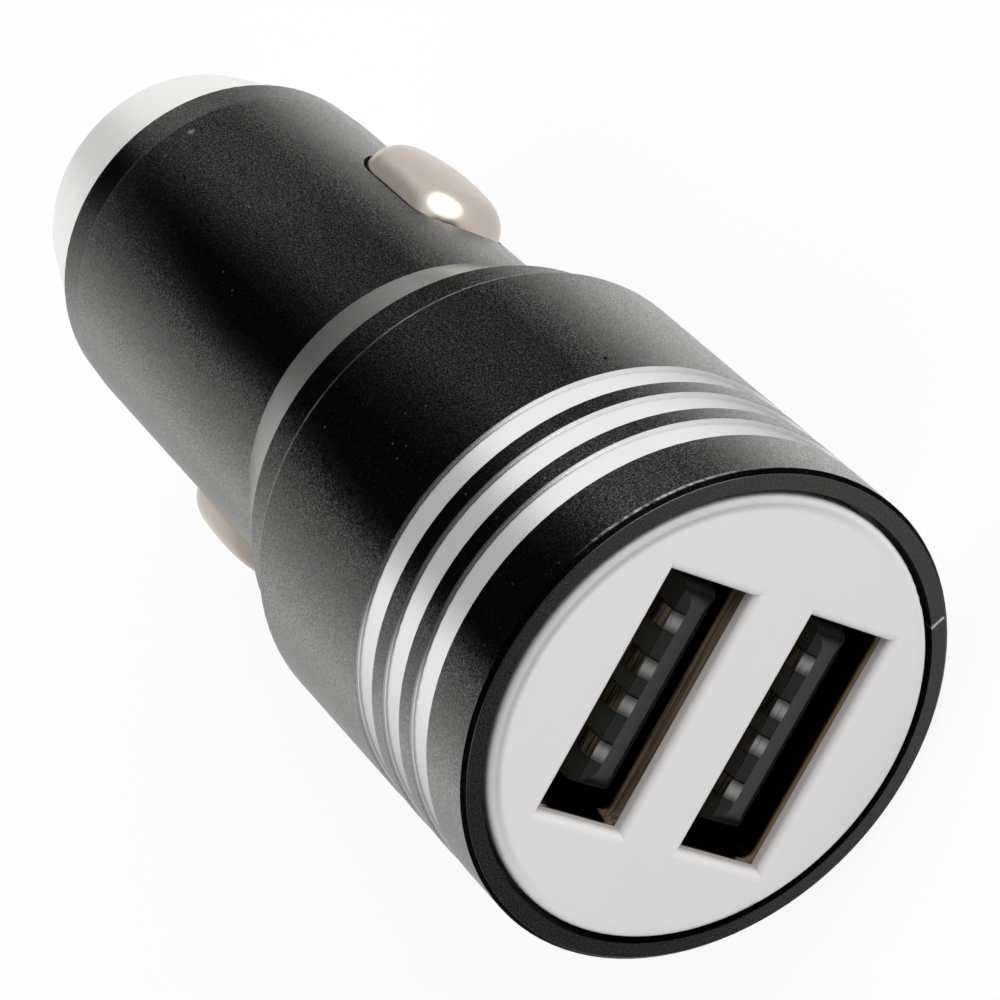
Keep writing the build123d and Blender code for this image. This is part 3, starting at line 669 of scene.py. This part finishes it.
# Floor under the head, nearly white to the eye and in reflections, with the shadow still faintly on it
floor_size = 6.0
floor_glow = 0.9
bpy.ops.object.select_all(action="DESELECT")
bpy.ops.mesh.primitive_plane_add(size=floor_size, location=(0, 0, shell_low[2]))
floor = bpy.context.object
floor.name = "floor"
tree, shader, floor_paint = new_finish("floor_paint")
floor.data.materials.append(floor_paint)
shader.inputs["Base Color"].default_value = (0.9, 0.9, 0.9, 1.0)
shader.inputs["Roughness"].default_value = 0.9
shader.inputs["Specular IOR Level"].default_value = 0.0
sight = tree.nodes.new("ShaderNodeLightPath")
seen = larger(tree, sight.outputs["Is Camera Ray"], sight.outputs["Is Glossy Ray"])
seen = larger(tree, seen, sight.outputs["Is Transmission Ray"])
glow = tree.nodes.new("ShaderNodeEmission")
glow.inputs["Strength"].default_value = 1.0
cover = tree.nodes.new("ShaderNodeMixShader")
join(tree, times(tree, seen, floor_glow), cover.inputs[0])
tree.links.new(shader.outputs[0], cover.inputs[1])
tree.links.new(glow.outputs[0], cover.inputs[2])
tree.links.new(cover.outputs[0], tree.nodes["Material Output"].inputs["Surface"])

# Soft white surroundings with a greyer patch high up behind the charger and a dark opening in front of it
patch_height = 0.5
patch_half_width = 0.45
patch_half_height = 0.7
opening_side = (-0.045, -0.761, 0.648)
world = bpy.data.worlds.new("studio")
bpy.context.scene.world = world
world.use_nodes = True
tree = world.node_tree
sky = tree.nodes["Background"]
sky.inputs["Color"].default_value = (1.0, 1.0, 1.0, 1.0)
towards = tree.nodes.new("ShaderNodeTexCoord")
x, y, z = parts_of(tree, towards.outputs["Generated"])
sideways = calculate(tree, "DIVIDE", x, patch_half_width)
upwards = calculate(tree, "DIVIDE", minus(tree, z, patch_height), patch_half_height)
from_patch = plus(tree, radius_of(tree, sideways, upwards), ramp(tree, y, 0.3, 0.0))
high_patch = ramp(tree, from_patch, 0.42, 1.05, 0.45, 0.95)
nearness = tree.nodes.new("ShaderNodeVectorMath")
nearness.operation = "DOT_PRODUCT"
tree.links.new(towards.outputs["Generated"], nearness.inputs[0])
nearness.inputs[1].default_value = opening_side
opening = ramp(tree, nearness.outputs["Value"], 0.74, 0.92, 1.0, 0.05)
join(tree, times(tree, high_patch, opening), sky.inputs["Strength"])

# One broad soft lamp on the right, turned to the shoulder
lamp_place = Vector((0.4, -0.08, 0.29))
lamp = bpy.data.lights.new("right_lamp", "AREA")
lamp.shape = "ELLIPSE"
lamp.size = 0.74
lamp.size_y = 0.64
lamp.energy = 2.2
stand = bpy.data.objects.new("right_lamp", lamp)
stand.location = lamp_place
stand.rotation_euler = lamp_place.to_track_quat("Z", "Y").to_euler()
bpy.context.scene.collection.objects.link(stand)

# Camera at the photograph's place
camera_place = (0.04666, -0.16514, 0.12657)
right = Vector((0.46712598, -0.46571357, -0.75160108))
up = Vector((0.85585297, 0.45163593, 0.25207278))
back = right.cross(up)
camera_data = bpy.data.cameras.new("camera")
camera_data.sensor_width = 36.0
camera_data.lens = 150.14
camera_data.clip_start = 0.01
camera = bpy.data.objects.new("camera", camera_data)
turn = Matrix((right, up, back)).transposed().to_4x4()
camera.matrix_world = Matrix.Translation(camera_place) @ turn
bpy.context.scene.collection.objects.link(camera)
bpy.context.scene.camera = camera
bpy.context.scene.view_settings.view_transform = "Standard"
